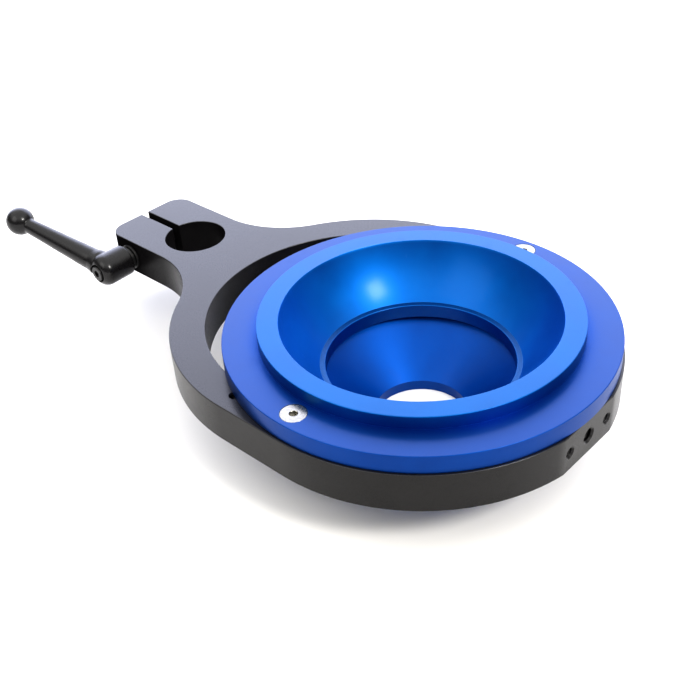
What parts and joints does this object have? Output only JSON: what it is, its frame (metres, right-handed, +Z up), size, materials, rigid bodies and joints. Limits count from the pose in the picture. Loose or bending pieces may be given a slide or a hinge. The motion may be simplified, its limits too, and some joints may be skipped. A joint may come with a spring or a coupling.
{
  "type": "camera levelling-bowl bracket",
  "caption": "Camera levelling bowl in a flanged funnel on a ring bracket, with a split post clamp closed by a ball-ended lever.",
  "frame": {"origin": "on the flat underside of the bracket plate, in the middle of the solid web between the post bore and the ring opening", "axes": "+X from the clamp towards the bowl, +Z up towards the bowl's mouth, lever on the -Y side"},
  "size_m": [0.3986, 0.2136, 0.0725],
  "materials": {
    "black_anodised": "satin black anodised, machined",
    "royal_blue_anodised": "satin royal blue anodised, turned",
    "azure_anodised": "satin azure anodised, turned",
    "bright_steel": "bright zinc plated",
    "black_steel": "black oxide",
    "black_enamel": "glossy black enamel on a die casting",
    "spring_steel": "drawn wire"
  },
  "bodies": {
    "bracket": {"bracket_plate": "black_anodised", "funnel_housing": "royal_blue_anodised", "bowl_ring": "azure_anodised", "flange_screw_near": "bright_steel", "flange_screw_far": "bright_steel", "bowl_screw_1": "black_steel", "bowl_screw_2": "black_steel", "bowl_screw_3": "black_steel", "bowl_screw_4": "black_steel", "bowl_screw_5": "black_steel", "bowl_screw_6": "black_steel"},
    "washer": {"thrust_washer": "black_steel"},
    "stud": {"threaded_stud": "black_steel", "serrated_insert": "black_steel", "retaining_screw": "black_steel", "return_spring": "spring_steel"},
    "lever": {"lever_handle": "black_enamel"}
  },
  "joints": [
    {"name": "thread_advance", "type": "slide", "parent": "bracket", "child": "washer", "axis": [0, -1, 0], "range_m": [0, 0.0019]},
    {"name": "lever_turn", "type": "hinge", "parent": "washer", "child": "stud", "pos_m": [-0.0663, -0.031, 0.01125], "axis": [0, -1, 0], "range_deg": [0, 540]},
    {"name": "lever_lift", "type": "slide", "parent": "stud", "child": "lever", "axis": [0, -1, 0], "range_m": [0, 0.0032], "stiffness_N_per_m": 500, "springref_m": -0.002, "deforming": ["return_spring"]}
  ],
  "couplings": [
    {"joint": "thread_advance", "follows": "lever_turn", "m_per_rad": 0.00019894}
  ]
}
